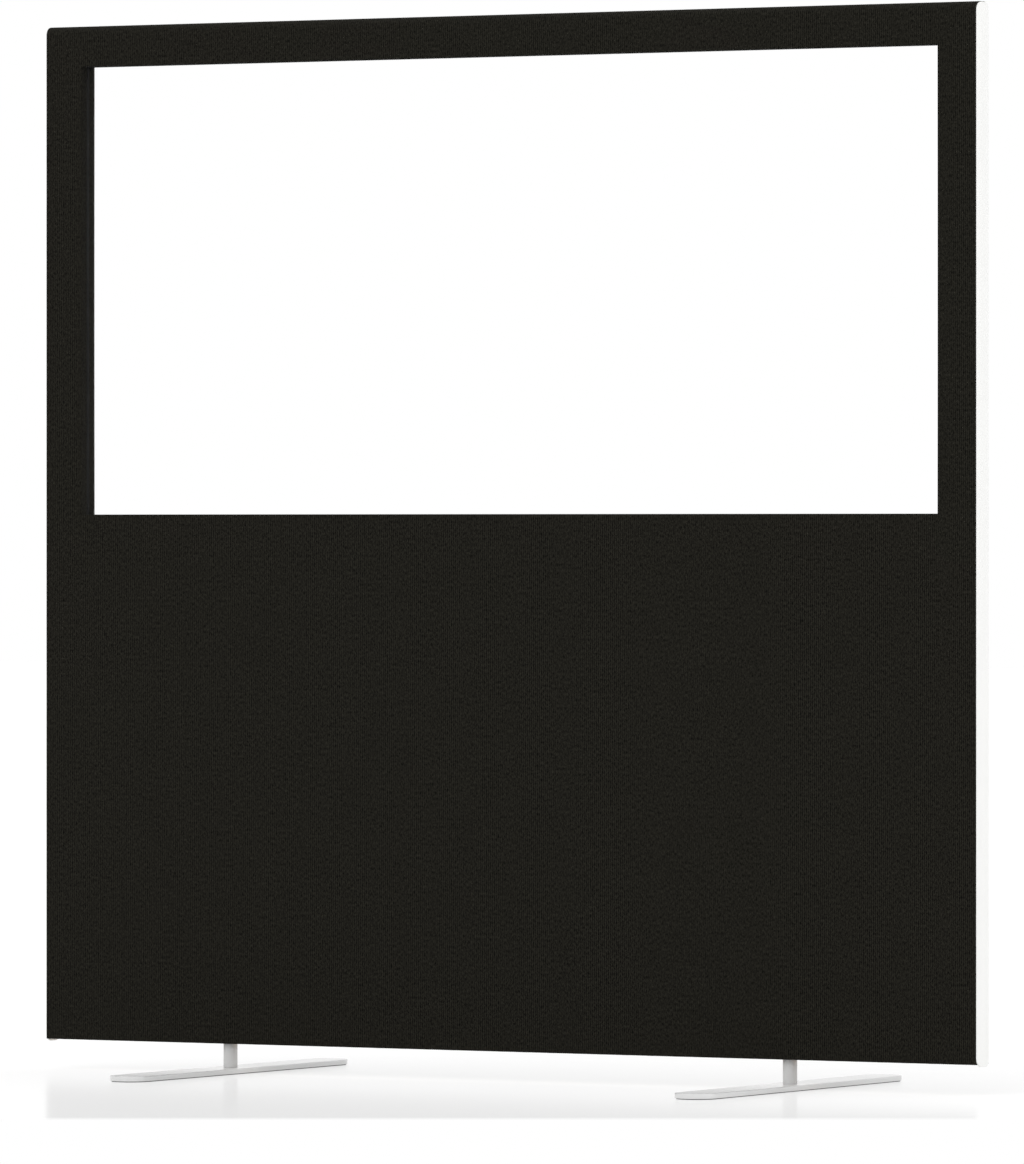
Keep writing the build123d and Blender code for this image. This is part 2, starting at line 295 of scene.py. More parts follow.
def sprayed_powder():
    """Baked powder coat. Orange peel is two sizes of smooth noise, a speck mask is the sharp top of a
    third, and Cast is a slow drift of tone over the piece."""
    tree, given, out = group("sprayed_powder", (("Place", "NodeSocketVector"), ("Peel", "NodeSocketFloat")),
                             ("Cast", "Speck", "Height"))
    place, fine_share, speck_from, speck_to = given.outputs["Place"], 0.4, 0.66, 0.74
    coarse, fine = cloud(tree, place, scale=620.0), cloud(tree, place, scale=2100.0)
    waves = reckon(tree, "MULTIPLY_ADD", fine, fine_share, coarse)
    peel = reckon(tree, "MULTIPLY", waves, given.outputs["Peel"])
    grit = cloud(tree, place, scale=900.0, detail=1.0)
    tree.links.new(cloud(tree, place, scale=14.0, detail=3.0), out.inputs["Cast"])
    tree.links.new(stretch(tree, grit, speck_from, speck_to, 0.0, 1.0), out.inputs["Speck"])
    tree.links.new(peel, out.inputs["Height"])
    return tree


def softwood():
    """Planed softwood with its grain along X. Growth rings are a sawtooth of the distance from a bent
    pith line, raised to a power, and pores are noise drawn out along the grain."""
    tree, given, out = group("softwood", (("Place", "NodeSocketVector"),), ("Late", "Pore"))
    place, pith_aside, board_height = given.outputs["Place"], 0.045, 0.37
    bend_share, rings_per_metre, late_power = 3.4, 290.0, 2.6
    bend = cloud(tree, scaled(tree, place, (1.4, 9.0, 9.0)), scale=1.0, detail=3.0)
    parts = parts_of(tree, place)
    side_y = reckon(tree, "ADD", parts["Y"], pith_aside)
    side_z = reckon(tree, "MODULO", parts["Z"], board_height)
    square_y, square_z = (reckon(tree, "MULTIPLY", side, side) for side in (side_y, side_z))
    far = reckon(tree, "SQRT", reckon(tree, "ADD", square_y, square_z))
    years = reckon(tree, "MULTIPLY_ADD", bend, bend_share, reckon(tree, "MULTIPLY", far, rings_per_metre))
    tree.links.new(reckon(tree, "POWER", reckon(tree, "FRACT", years), late_power), out.inputs["Late"])
    pore = cloud(tree, scaled(tree, place, (60.0, 1500.0, 1500.0)), scale=1.0)
    tree.links.new(pore, out.inputs["Pore"])
    return tree


def soft_grain():
    """The close grain of moulded rubber: noise of two sizes for the surface and one slow noise for bloom."""
    tree, given, out = group("soft_grain", (("Place", "NodeSocketVector"), ("Size", "NodeSocketFloat")),
                             ("Bloom", "Height"))
    grain = put(tree, "ShaderNodeTexNoise", Detail=3.0)
    tree.links.new(given.outputs["Place"], grain.inputs["Vector"])
    tree.links.new(given.outputs["Size"], grain.inputs["Scale"])
    tree.links.new(cloud(tree, given.outputs["Place"], scale=35.0, detail=3.0), out.inputs["Bloom"])
    tree.links.new(grain.outputs["Fac"], out.inputs["Height"])
    return tree


WEAVE, POWDER, WOOD, GRAIN = ribbed_weave(), sprayed_powder(), softwood(), soft_grain()


def finish_of(name, **constants):
    """A material with its Principled shader's constants set; spaces in their names are underscores."""
    paint = bpy.data.materials.new(name)
    paint.use_nodes = True
    tree = paint.node_tree
    skin = tree.nodes["Principled BSDF"]
    for label, value in constants.items():
        skin.inputs[label.replace("_", " ")].default_value = value
    return paint, tree, skin


def use(tree, effect, **values):
    """Places a node group in a material with its own values."""
    node = tree.nodes.new("ShaderNodeGroup")
    node.node_tree = effect
    for label, value in values.items():
        feed(tree, value, node.inputs[label])
    return node.outputs


def bump(tree, skin, height, depth, strength=1.0):
    """Feeds a height, in parts of depth metres, to the shader's normal."""
    node = put(tree, "ShaderNodeBump", Distance=depth, Strength=strength)
    tree.links.new(height, node.inputs["Height"])
    tree.links.new(node.outputs[0], skin.inputs["Normal"])


def tinted(colour, factor):
    """A colour made lighter or darker by a factor."""
    return tuple(channel * factor for channel in colour) + (1.0,)


def cover_cloth():
    """Near-black ribbed upholstery cloth on the sheet's own developed layout."""
    paint, tree, skin = finish_of("cover_cloth", Roughness=0.93, Sheen_Weight=0.02, Sheen_Roughness=0.55)
    skin.inputs["Specular IOR Level"].default_value = 0.02
    layout = put(tree, "ShaderNodeUVMap", uv_map="cloth_layout").outputs[0]
    weave = use(tree, WEAVE, Layout=layout, Rib=RIB_PITCH, Pick=PICK_PITCH)
    black, darkest, lightest, shade_low, shade_high = (0.0138, 0.0130, 0.0100), 0.15, 1.85, 0.3, 1.3
    # The weave's Shade carries painted shade in the rib valleys and a painted highlight on the pick crowns,
    # along with the cloth's own uneven tone.
    share = stretch(tree, weave["Shade"], shade_low, shade_high, 0.0, 1.0)
    feed(tree, blend(tree, share, tinted(black, darkest), tinted(black, lightest)), skin.inputs["Base Color"])
    bump(tree, skin, weave["Height"], depth=0.22 * MM)
    return paint


def pale_powder(name, colour, peel, roughness, coat, coat_roughness):
    """A pale powder coat: a slow cast, fine specks, orange peel and a little uneven gloss."""
    paint, tree, skin = finish_of(name, Coat_Weight=coat, Coat_Roughness=coat_roughness)
    darkest, lightest, speck_tone, speck_share, smoother, rougher = 0.965, 1.02, 0.8, 0.25, 0.05, 0.06
    coatings = use(tree, POWDER, Place=object_place(tree), Peel=peel)
    cast = coatings["Cast"]
    body = blend(tree, cast, tinted(colour, darkest), tinted(colour, lightest))
    speck = reckon(tree, "MULTIPLY", coatings["Speck"], speck_share)
    feed(tree, blend(tree, speck, body, tinted(colour, speck_tone)), skin.inputs["Base Color"])
    uneven = stretch(tree, cast, 0.3, 0.7, roughness - smoother, roughness + rougher)
    feed(tree, uneven, skin.inputs["Roughness"])
    bump(tree, skin, coatings["Height"], depth=0.06 * MM)
    return paint


def clear_sheet():
    """Clear polished acrylic with the faintest uneven polish."""
    paint, tree, skin = finish_of("clear_acrylic_sheet", Transmission_Weight=1.0, IOR=1.49)
    skin.inputs["Base Color"].default_value = WHITE
    polish = cloud(tree, object_place(tree), scale=6.0, detail=4.0)
    feed(tree, stretch(tree, polish, 0.45, 0.8, 0.0, 0.02), skin.inputs["Roughness"])
    return paint


def moulded_rubber(name, colour, size, roughness):
    """Matt rubber with close grain and a slow pale bloom."""
    paint, tree, skin = finish_of(name)
    skin.inputs["Specular IOR Level"].default_value = 0.35
    grain = use(tree, GRAIN, Place=object_place(tree), Size=size)
    darkest, lightest, swing = 0.8, 1.35, 0.06
    bloom = grain["Bloom"]
    body = blend(tree, bloom, tinted(colour, darkest), tinted(colour, lightest))
    feed(tree, body, skin.inputs["Base Color"])
    feed(tree, stretch(tree, bloom, 0.3, 0.7, roughness - swing, roughness + swing), skin.inputs["Roughness"])
    bump(tree, skin, grain["Height"], depth=0.08 * MM)
    return paint


def planed_timber(name, turn):
    """Planed softwood, with the grain turned to run along the piece."""
    paint, tree, skin = finish_of(name)
    lie = put(tree, "ShaderNodeMapping")
    lie.inputs["Rotation"].default_value = turn
    tree.links.new(object_place(tree), lie.inputs["Vector"])
    grain = use(tree, WOOD, Place=lie.outputs[0])
    early_wood, late_wood = (0.62, 0.44, 0.25, 1.0), (0.36, 0.19, 0.085, 1.0)
    pore_wood, pore_share = (0.30, 0.18, 0.09, 1.0), 0.3
    body = blend(tree, grain["Late"], early_wood, late_wood)
    pores = reckon(tree, "MULTIPLY", grain["Pore"], pore_share)
    feed(tree, blend(tree, pores, body, pore_wood), skin.inputs["Base Color"])
    feed(tree, stretch(tree, grain["Pore"], 0.0, 1.0, 0.55, 0.75), skin.inputs["Roughness"])
    bump(tree, skin, reckon(tree, "MULTIPLY_ADD", grain["Pore"], 0.5, grain["Late"]), depth=0.12 * MM)
    return paint


def fibre_batt():
    """Off-white bonded fibre: fine crossing streaks of noise."""
    paint, tree, skin = finish_of("fibre_batt", Roughness=0.95)
    place = object_place(tree)
    level, upright = (cloud(tree, scaled(tree, place, cells), scale=1.0, detail=3.0)
                      for cells in ((90.0, 900.0, 900.0), (900.0, 900.0, 90.0)))
    fibres = reckon(tree, "MAXIMUM", level, upright)
    hollow, crest = (0.5, 0.49, 0.45, 1.0), (0.8, 0.79, 0.76, 1.0)
    share = stretch(tree, fibres, 0.4, 0.75, 0.0, 1.0)
    feed(tree, blend(tree, share, hollow, crest), skin.inputs["Base Color"])
    bump(tree, skin, fibres, depth=0.6 * MM)
    return paint


def zinc_plate():
    """Bright zinc plate: turning marks, and a tint that drifts between blue and straw."""
    paint, tree, skin = finish_of("zinc_plate", Metallic=1.0)
    place = object_place(tree)
    drift = cloud(tree, place, scale=120.0, detail=3.0)
    marks = cloud(tree, scaled(tree, place, (350.0, 350.0, 4200.0)), scale=1.0)
    blue, straw = (0.56, 0.60, 0.66, 1.0), (0.70, 0.66, 0.56, 1.0)
    feed(tree, blend(tree, drift, blue, straw), skin.inputs["Base Color"])
    feed(tree, stretch(tree, marks, 0.2, 0.8, 0.24, 0.44), skin.inputs["Roughness"])
    bump(tree, skin, marks, depth=0.03 * MM)
    return paint


def sewing_thread():
    """Black polyester thread: a fine twist along the seam."""
    paint, tree, skin = finish_of("sewing_thread", Roughness=0.6, Sheen_Weight=0.15)
    twist = put(tree, "ShaderNodeTexWave", wave_type="BANDS", bands_direction="DIAGONAL", Scale=900.0,
                Distortion=0.5)
    tree.links.new(object_place(tree), twist.inputs["Vector"])
    hollow, crest = (0.008, 0.008, 0.007, 1.0), (0.026, 0.025, 0.022, 1.0)
    feed(tree, blend(tree, twist.outputs["Fac"], hollow, crest), skin.inputs["Base Color"])
    bump(tree, skin, twist.outputs["Fac"], depth=0.08 * MM)
    return paint


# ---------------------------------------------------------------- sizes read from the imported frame

cover_low, cover_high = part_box("front_cover")
side_low, side_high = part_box("right_gasket")
trim_low, trim_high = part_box("right_end_trim")
post_low, post_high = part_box("right_post")

HALF_WIDTH = cover_high.x
FACE = -cover_low.y
PANEL_BOTTOM, PANEL_TOP = cover_low.z, cover_high.z
WINDOW_HALF, GASKET_HALF = side_low.x, side_high.y
WINDOW_BOTTOM, WINDOW_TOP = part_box("sill_gasket")[1].z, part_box("head_gasket")[0].z
TIMBER_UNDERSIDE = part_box("bottom_rail")[0].z
POST_X = (post_low.x + post_high.x) / 2
RIB_COUNT = 475
RIB_PITCH, PICK_PITCH = 2 * HALF_WIDTH / RIB_COUNT, 1.05 * MM
RIB_RISE = 0.17 * MM
TOP_RADIUS, BOTTOM_RADIUS, FOLD_RADIUS = 12 * MM, 1.5 * MM, 0.6 * MM
OPENING_BELOW = 10 * MM
END_RETURN = 9 * MM
TURNED_EDGE = 1.3 * MM
SEAT_CLEARANCE = 0.3 * MM
MITRE = 0.4 * MM

# ---------------------------------------------------------------- mesh makers


def facets(points, groups):
    """Of every quad, the middle and the area vector, which is half the cross product of its diagonals."""
    quads = np.concatenate([g for g in groups if g.shape[1] == 4])
    a, b, c, d = (points[quads[:, k]] for k in range(4))
    return (a + b + c + d) / 4, np.cross(c - a, d - b) / 2


def piece(name, points, groups, layout=None, facing=None, sharp=40.0, merge=True):
    """Puts points and groups of equal-sided faces into a mesh. A closed shape, with no facing, is turned
    so that the sum of place times area vector, three times its volume, is positive. A sheet is turned to
    face its facing direction. Edges sharper than the angle stay crisp."""
    middles, areas = facets(points, groups)
    sense = (middles * areas).sum() if facing is None else (areas @ np.array(facing, float)).sum()
    if sense < 0:
        groups = [g[:, ::-1] for g in groups]
    sizes = np.concatenate([np.full(len(g), g.shape[1]) for g in groups])
    corners = np.concatenate([np.ascontiguousarray(g).ravel() for g in groups]).astype(np.int32)
    starts = np.concatenate([[0], np.cumsum(sizes)[:-1]]).astype(np.int32)
    mesh = bpy.data.meshes.new(name)
    mesh.vertices.add(len(points))
    mesh.vertices.foreach_set("co", np.ascontiguousarray(points, np.float32).ravel())
    mesh.loops.add(len(corners))
    mesh.loops.foreach_set("vertex_index", corners)
    mesh.polygons.add(len(sizes))
    mesh.polygons.foreach_set("loop_start", starts)
    if layout is not None:
        layer = mesh.uv_layers.new(name="cloth_layout")
        layer.data.foreach_set("uv", layout[corners].astype(np.float32).ravel())
    mesh.update(calc_edges=True)
    if merge:
        work = bmesh.new()
        work.from_mesh(mesh)
        bmesh.ops.remove_doubles(work, verts=work.verts, dist=1e-6)
        bmesh.ops.dissolve_degenerate(work, edges=work.edges, dist=1e-7)
        work.to_mesh(mesh)
        work.free()
    mesh.validate()
    mesh.polygons.foreach_set("use_smooth", np.ones(len(mesh.polygons), bool))
    mesh.set_sharp_from_angle(angle=math.radians(sharp))
    made = bpy.data.objects.new(name, mesh)
    scene.collection.objects.link(made)
    return made


def grid_quads(rows, columns, ring=False, tube=False):
    """The quads between neighbours of a grid numbered row by row; ring closes each row on itself and
    tube joins the last row to the first."""
    across = np.arange(columns if ring else columns - 1)
    down = np.arange(rows if tube else rows - 1)
    row, column = (g.ravel() for g in np.meshgrid(down, across, indexing="ij"))
    after, below = (column + 1) % columns, (row + 1) % rows
    return np.stack([row * columns + column, row * columns + after, below * columns + after,
                     below * columns + column], axis=1)


def arc(centre, radius, start, stop, steps):
    """Points on a circle from a start to a stop angle in degrees."""
    angles = np.radians(np.linspace(start, stop, steps + 1))
    return np.stack([centre[0] + radius * np.cos(angles), centre[1] + radius * np.sin(angles)], axis=1)


def rounded_outline(half_a, half_b, radius, inset, arc_steps, a_steps, b_steps):
    """A rectangle with round corners, set in by an inset: its half sizes and corner radius both shrink by
    the inset, so that the corner centres and the points of the straight runs stay where they are. It
    starts at the upper end of the right side and goes round anticlockwise."""
    reach_a, reach_b, turn = half_a - radius, half_b - radius, max(radius - inset, 0.0)
    out_a, out_b = half_a - inset, half_b - inset
    runs = []
    for quarter, (sign_a, sign_b) in enumerate(((1, 1), (-1, 1), (-1, -1), (1, -1))):
        start = 90.0 * quarter
        runs.append(arc((sign_a * reach_a, sign_b * reach_b), turn, start, start + 90.0, arc_steps)[:-1])
        steps = a_steps if quarter % 2 == 0 else b_steps
        if steps:
            share = np.linspace(0.0, 1.0, steps + 1)[:-1, None]
            begin, end = {
                0: ((reach_a, out_b), (-reach_a, out_b)),
                1: ((-out_a, reach_b), (-out_a, -reach_b)),
                2: ((-reach_a, -out_b), (reach_a, -out_b)),
                3: ((out_a, -reach_b), (out_a, reach_b)),
            }[quarter]
            runs.append(np.array(begin) + share * (np.array(end) - np.array(begin)))
    return np.concatenate(runs)


def repeated(tube, starts, sides):
    """A small tube, given as rings of as many points as it has sides, copied to every start: the points,
    the quads of its walls and the two faces that close its ends."""
    points = (starts[:, None, :] + tube[None]).reshape(-1, 3)
    offsets = (np.arange(len(starts)) * len(tube))[:, None, None]
    walls = grid_quads(len(tube) // sides, sides, ring=True)
    ends = np.stack([np.arange(sides)[::-1], np.arange(sides) + len(tube) - sides])
    return points, [(faces[None] + offsets).reshape(-1, faces.shape[1]) for faces in (walls, ends)]


# ---------------------------------------------------------------- cloth covers


def rib_sink(place):
    """How far the cloth sinks between its ribs: rise times one less the cosine of 2 pi times place over
    the pitch, nothing on a crest."""
    return RIB_RISE * (1.0 - np.cos(2 * math.pi * (place + HALF_WIDTH) / RIB_PITCH))


def cover_section():
    """The cover's line in side view, front half, as (y, z, normal y, normal z, rib weight), from the
    turned edge underneath, round the bottom fold, up the face, over the round top and into the seam."""
    rim_low, rim_high = WINDOW_BOTTOM - FOLD_RADIUS, WINDOW_TOP + FOLD_RADIUS
    face_levels = (0.3, 0.55, rim_low, 1.0, 1.22, rim_high)
    seam_dip = ((-4.5, 0.0, 1), (-2.2, 0.02, 1), (-1.3, 0.15, 1), (-0.6, 0.55, 0.6), (0.0, 1.2, 0.0))
    rows = [(-OPENING_BELOW, TIMBER_UNDERSIDE, 0, -1, 0), (-OPENING_BELOW, PANEL_BOTTOM, 0, -1, 0.6)]
    for angle in np.radians(np.linspace(0, 90, 5)):
        sine, cosine = math.sin(angle), math.cos(angle)
        y, z = -FACE + BOTTOM_RADIUS * (1 - sine), PANEL_BOTTOM + BOTTOM_RADIUS * (1 - cosine)
        rows.append((y, z, -sine, -cosine, 1))
    rows += [(-FACE, z, -1, 0, 1) for z in face_levels]
    for angle in np.radians(np.linspace(0, 90, 9)):
        sine, cosine = math.sin(angle), math.cos(angle)
        y, z = -FACE + TOP_RADIUS * (1 - cosine), PANEL_TOP - TOP_RADIUS * (1 - sine)
        rows.append((y, z, -cosine, sine, 1))
    rows += [(y * MM, PANEL_TOP - drop * MM, 0, 1, weight) for y, drop, weight in seam_dip]
    return np.array(rows)


def cover_columns():
    """Places across the cloth, four to a rib, with the window's rim and the start of the end folds added
    and their near neighbours left out. Past the start of a fold come its quarter circle and its straight
    return."""
    per_rib, room, return_steps = 4, 0.3 * MM, 11
    flat_half = HALF_WIDTH - FOLD_RADIUS
    regular = -HALF_WIDTH + np.arange(per_rib * RIB_COUNT + 1) * RIB_PITCH / per_rib
    special = np.array([-flat_half, -WINDOW_HALF - FOLD_RADIUS, WINDOW_HALF + FOLD_RADIUS, flat_half])
    near = np.abs(regular[:, None] - special).min(axis=1) < room
    regular = regular[~near & (np.abs(regular) < flat_half)]
    turned = np.array([0.4, 0.8, 1.2, 1.5708]) * FOLD_RADIUS
    straight = turned[-1] + np.arange(1, return_steps + 1) * (END_RETURN - FOLD_RADIUS) / return_steps
    beyond = flat_half + np.concatenate([turned, straight])
    return np.sort(np.concatenate([-beyond, regular, special, beyond]))


def stretched_cover(name, side):
    """One cover, laid out as a grid of places across (u) by places along its section (v). Inside the ends,
    a point is the section's point at x = u. Past them, x goes round the fold's quarter circle and the
    point moves in from the section along its normal, no further than a mitre from the bottom corner. The
    window is left out, and its rim is carried in rings: round a quarter circle, back to the gasket and out
    to the timber, each ring the rim clipped to a smaller rectangle. Everywhere the cloth sinks between its
    ribs along its own normal. side is -1 at the front and 1 at the back."""
    section, across = cover_section(), cover_columns()
    steps = np.hypot(*np.diff(section[:, :2], axis=0).T)
    along = np.concatenate([[0.0], np.cumsum(steps)])
    flat_half = HALF_WIDTH - FOLD_RADIUS
    past = np.clip(np.abs(across) - flat_half, 0.0, None)
    angle = np.minimum(past / FOLD_RADIUS, math.pi / 2)
    x = np.sign(across) * (np.minimum(np.abs(across), flat_half) + FOLD_RADIUS * np.sin(angle))
    inset = FOLD_RADIUS * (1 - np.cos(angle)) + np.clip(past - FOLD_RADIUS * math.pi / 2, 0.0, None)
    bottom_fold = slice(3, 7)
    to_fold = np.abs(along - along[bottom_fold].mean())
    limit = np.maximum(to_fold, MITRE)[:, None]
    inset = np.minimum(inset[None, :], limit)
    sink = rib_sink(across)[None, :] * section[:, 4][:, None]
    deep = inset + sink * np.cos(angle)[None, :]
    y = section[:, 0][:, None] - section[:, 2][:, None] * deep
    z = section[:, 1][:, None] - section[:, 3][:, None] * deep
    x = x[None, :] - sink * np.sin(angle)[None, :] * np.sign(across)[None, :]
    points = np.stack([np.broadcast_to(x, y.shape), y, z], axis=2).reshape(-1, 3)
    layout = np.stack(np.meshgrid(across, along), axis=2).reshape(-1, 2)
    rows, columns = len(section), len(across)

    rim_half = WINDOW_HALF + FOLD_RADIUS
    rim_low, rim_high = WINDOW_BOTTOM - FOLD_RADIUS, WINDOW_TOP + FOLD_RADIUS
    first, last = (int(np.abs(across - place).argmin()) for place in (-rim_half, rim_half))
    face_rows = np.where(section[:, 2] == -1)[0]
    low, high = (int(face_rows[np.abs(section[face_rows, 1] - level).argmin()])
                 for level in (rim_low, rim_high))
    quads = grid_quads(rows, columns)
    row, column = quads[:, 0] // columns, quads[:, 0] % columns
    quads = quads[~((row >= low) & (row < high) & (column >= first) & (column < last))]

    rim = np.concatenate([
        low * columns + np.arange(first, last), np.arange(low, high) * columns + last,
        high * columns + np.arange(last, first, -1), np.arange(high, low, -1) * columns + first,
    ])
    base_u, base_v = across[rim % columns], section[rim // columns, 1]
    out_x = np.isclose(base_u, rim_half).astype(float) - np.isclose(base_u, -rim_half)
    out_z = np.isclose(base_v, rim_high).astype(float) - np.isclose(base_v, rim_low)
    at_corner = (out_x != 0) & (out_z != 0)
    levels = [(FOLD_RADIUS * a, FOLD_RADIUS * math.sin(a), FOLD_RADIUS * (1 - math.cos(a)), a)
              for a in np.radians([30.0, 60.0, 90.0])]
    seat = FACE - GASKET_HALF - SEAT_CLEARANCE
    walk = levels[-1][0]
    reveal_shares = (0.35, 0.7, 1.0)
    for share in reveal_shares:
        back = FOLD_RADIUS + share * (seat - FOLD_RADIUS)
        levels.append((walk + back - FOLD_RADIUS, FOLD_RADIUS, back, math.pi / 2))
    levels.append((levels[-1][0] + TURNED_EDGE, FOLD_RADIUS - TURNED_EDGE, seat, math.pi / 2))
    ring_points, ring_layout = [points[rim]], [layout[rim]]
    for travel, inward, back, turn in levels:
        if inward > 0:
            ring_x = np.clip(base_u, -rim_half + inward, rim_half - inward)
            ring_z = np.clip(base_v, rim_low + inward, rim_high - inward)
        else:
            ring_x, ring_z = base_u - out_x * inward, base_v - out_z * inward
        u = base_u - out_x * travel
        hollow = np.where(at_corner | (inward < 0), 0.0, rib_sink(u))
        ring_points.append(np.stack([
            ring_x + out_x * hollow * math.sin(turn),
            -FACE + back + hollow * math.cos(turn),
            ring_z + out_z * hollow * math.sin(turn),
        ], axis=1))
        ring_layout.append(np.stack([u, layout[rim][:, 1] - out_z * travel], axis=1))
    count = len(rim)
    ring_quads = grid_quads(len(ring_points), count, ring=True)
    number = np.concatenate([rim, len(points) + np.arange(count * len(levels))])
    points = np.concatenate([points, *ring_points[1:]])
    layout = np.concatenate([layout, *ring_layout[1:]])
    quads = np.concatenate([quads, number[ring_quads][:, ::-1]])
    if side > 0:
        points = points * (1, -1, 1)
        quads = quads[:, ::-1]
    cover = piece(name, points, [quads], layout=layout, facing=(0, side, 0), sharp=55.0, merge=False)
    cloth_width = across[-1] - across[0]
    travel = levels[-1][0]
    cut_out = 2 * (rim_half - travel) * (rim_high - rim_low - 2 * travel)
    return cover, (cloth_width, along[-1]), cloth_width * along[-1] - cut_out


cloth = cover_cloth()
for cover_name, node, side in (("cloth_front", "front_cover", -1), ("cloth_back", "back_cover", 1)):
    cover, flat, flat_area = stretched_cover(cover_name, side)
    cover.data.materials.append(cloth)
    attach(cover, "root")
    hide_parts(node)


def seam_stitches():
    """Two rows of stitches beside the seam on top. Each is a six-sided spindle: along its length s from -1
    to 1, its radius follows the square root of 1 less 0.8 s squared, and it rises as 1 less s squared."""
    pitch, length, radius, rise = 3.6 * MM, 3.0 * MM, 0.24 * MM, 0.12 * MM
    row_offset, sunk, each_way, sides = 3.2 * MM, 0.16 * MM, 206, 6
    middles = np.arange(-each_way, each_way + 1) * pitch
    share = np.array([-1.0, -0.5, 0.5, 1.0])[:, None]
    angle = np.radians(np.arange(sides) * 360.0 / sides)
    swell = radius * np.sqrt(1 - 0.8 * share ** 2)
    along, aside = share * length / 2, swell * np.cos(angle)
    up = swell * np.sin(angle) + rise * (1 - share ** 2)
    spindle = np.stack(np.broadcast_arrays(along, aside, up), axis=2).reshape(-1, 3)
    starts = np.array([(x, y, PANEL_TOP - sunk) for y in (-row_offset, row_offset) for x in middles])
    points, faces = repeated(spindle, starts, sides)
    made = piece("top_seam_stitches", points, faces, sharp=80.0, merge=False)
    made.data.materials.append(sewing_thread())
    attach(made, "root")


seam_stitches()


def underside_staples():
    """Staples through the turned-under cloth: a flat wire section carried along a crown with two bent
    shoulders, in two rows, left out where a post stands. The wire's outer and inner lines are in
    millimetres."""
    half, pitch, each_way, post_room, row_offset = 0.6 * MM, 40 * MM, 18, 17 * MM, 13.6 * MM
    line = np.array([(-5.0, 0.9), (-5.0, 0.1), (-4.7, -0.2), (4.7, -0.2), (5.0, 0.1), (5.0, 0.9)]) * MM
    inner = np.array([(-4.5, 0.9), (-4.5, 0.4), (-4.4, 0.3), (4.4, 0.3), (4.5, 0.4), (4.5, 0.9)]) * MM
    corners = ((line, -half), (line, half), (inner, half), (inner, -half))
    tracks = [np.column_stack([track[:, 0], np.full(len(track), y), track[:, 1]]) for track, y in corners]
    wire = np.stack(tracks, axis=1).reshape(-1, 3)
    places = np.arange(-each_way, each_way + 1) * pitch
    places = places[np.abs(np.abs(places) - POST_X) > post_room]
    starts = np.array([(x, y, PANEL_BOTTOM) for y in (-row_offset, row_offset) for x in places])
    points, faces = repeated(wire, starts, len(corners))
    made = piece("underside_staples", points, faces, sharp=30.0, merge=False)
    made.data.materials.append(zinc)
    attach(made, "root")


# ---------------------------------------------------------------- end trims


